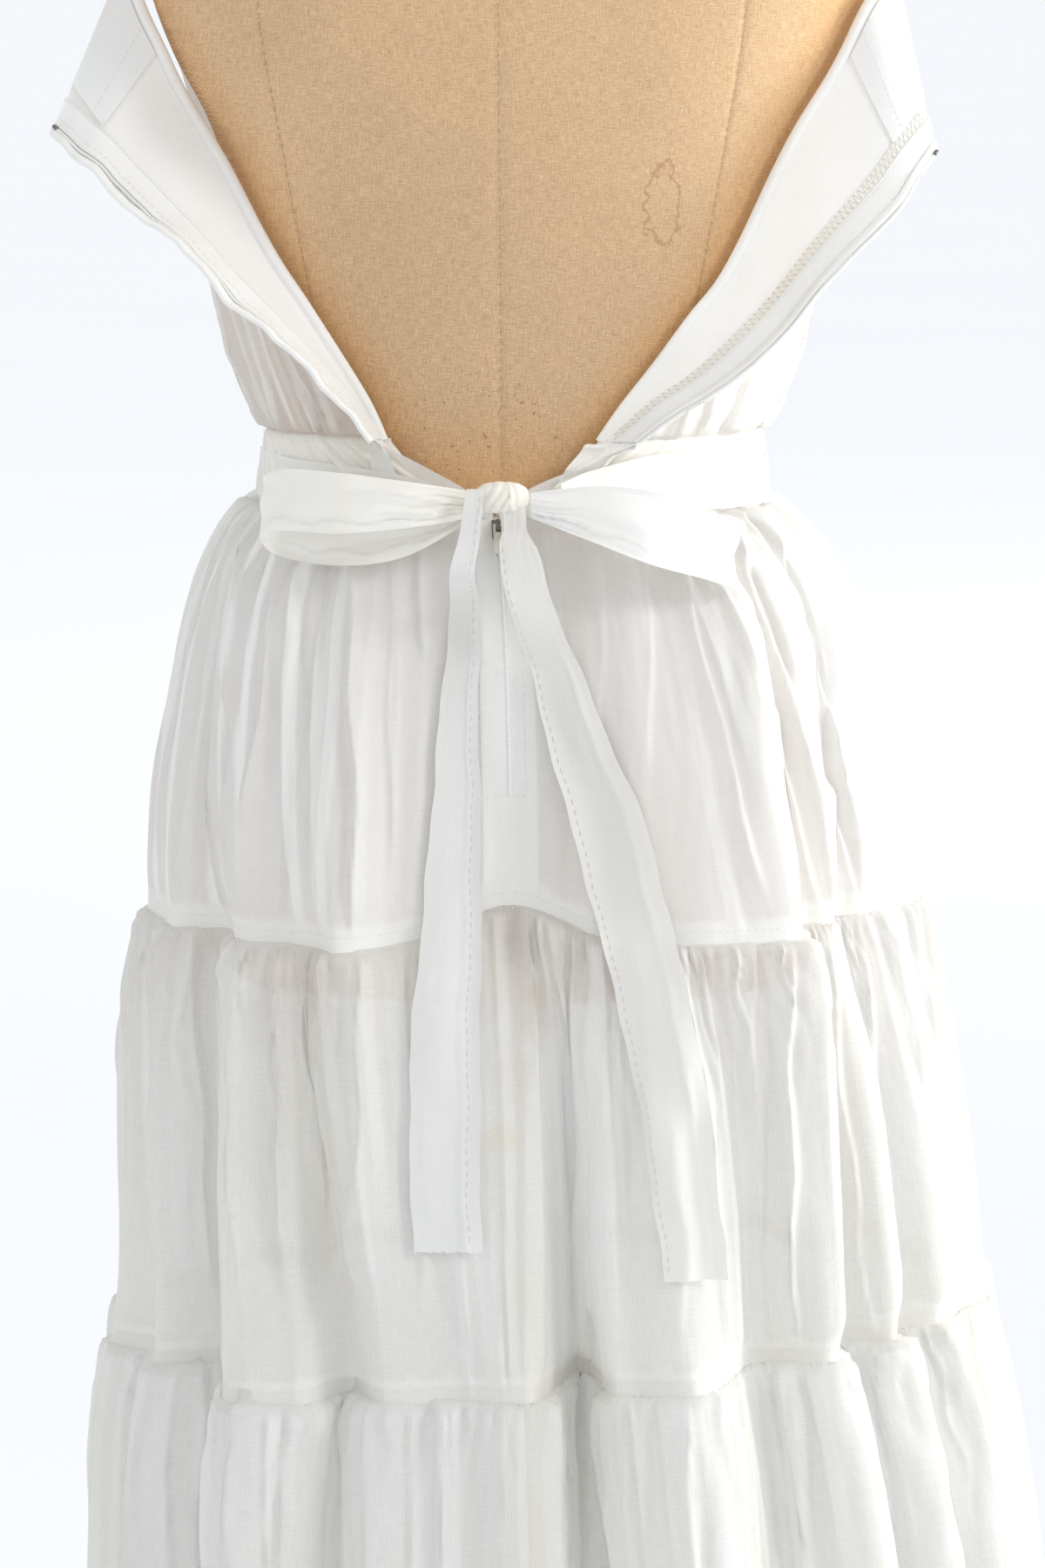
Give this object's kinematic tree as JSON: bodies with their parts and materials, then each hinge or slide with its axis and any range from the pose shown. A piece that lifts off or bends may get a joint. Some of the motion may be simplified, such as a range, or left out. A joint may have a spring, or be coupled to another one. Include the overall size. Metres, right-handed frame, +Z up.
{
  "type": "tiered maxi dress on a limbless dress form",
  "caption": "Tiered cotton voile maxi dress, back zip undone and back panels folded out, tie belt in a bow, resting on a linen-covered limbless dress form on a stand.",
  "frame": {"origin": "on the floor, at the centre of the underside of the stand's base", "axes": "+Z up along the pole; the dress's front faces -Y and its undone back faces +Y; +X is the wearer's left"},
  "size_m": [0.6069, 0.5695, 1.5124],
  "materials": {
    "cotton_voile": "thin plain-weave cotton voile, slightly sheer, gathered",
    "tie_voile": "doubled cotton voile, slightly yellowed",
    "zip_tape": "woven herringbone zip tape",
    "linen": "unbleached linen stretched over the form, aged and lightly stained",
    "turned_wood": "varnished turned wood",
    "painted_steel": "black satin paint",
    "zip_metal": "dull zip metal"
  },
  "bodies": {
    "dress_and_form": {"bodice_front": "cotton_voile", "bodice_back_left": "cotton_voile", "bodice_back_right": "cotton_voile", "neck_facing_left": "cotton_voile", "neck_facing_right": "cotton_voile", "waistband_front": "tie_voile", "waistband_back_left": "tie_voile", "waistband_back_right": "tie_voile", "tie_left": "tie_voile", "tie_right": "tie_voile", "bow_knot": "tie_voile", "bow_loop_left": "tie_voile", "bow_loop_right": "tie_voile", "bow_tail_left": "tie_voile", "bow_tail_right": "tie_voile", "skirt_tier_1_front": "cotton_voile", "skirt_tier_1_back_left": "cotton_voile", "skirt_tier_1_back_right": "cotton_voile", "skirt_tier_2_front": "cotton_voile", "skirt_tier_2_back_left": "cotton_voile", "skirt_tier_2_back_right": "cotton_voile", "skirt_tier_3_front": "cotton_voile", "skirt_tier_3_back_left": "cotton_voile", "skirt_tier_3_back_right": "cotton_voile", "skirt_tier_4_front": "cotton_voile", "skirt_tier_4_back_left": "cotton_voile", "skirt_tier_4_back_right": "cotton_voile", "zip_tape_left": "zip_tape", "zip_tape_right": "zip_tape", "zip_tape_closed": "zip_tape", "zip_slider": "zip_metal", "zip_stop_left": "zip_metal", "zip_stop_right": "zip_metal", "form_torso": "linen", "form_neck_cap": "turned_wood", "stand_pole": "painted_steel", "stand_base": "painted_steel"},
    "pull_tab": {"zip_pull": "zip_metal"}
  },
  "joints": [
    {"name": "pull_tab_hinge", "type": "hinge", "parent": "dress_and_form", "child": "pull_tab", "pos_m": [0.00062, 0.09725, 1.03851], "axis": [1, 0, 0], "range_deg": [0, 60]}
  ]
}
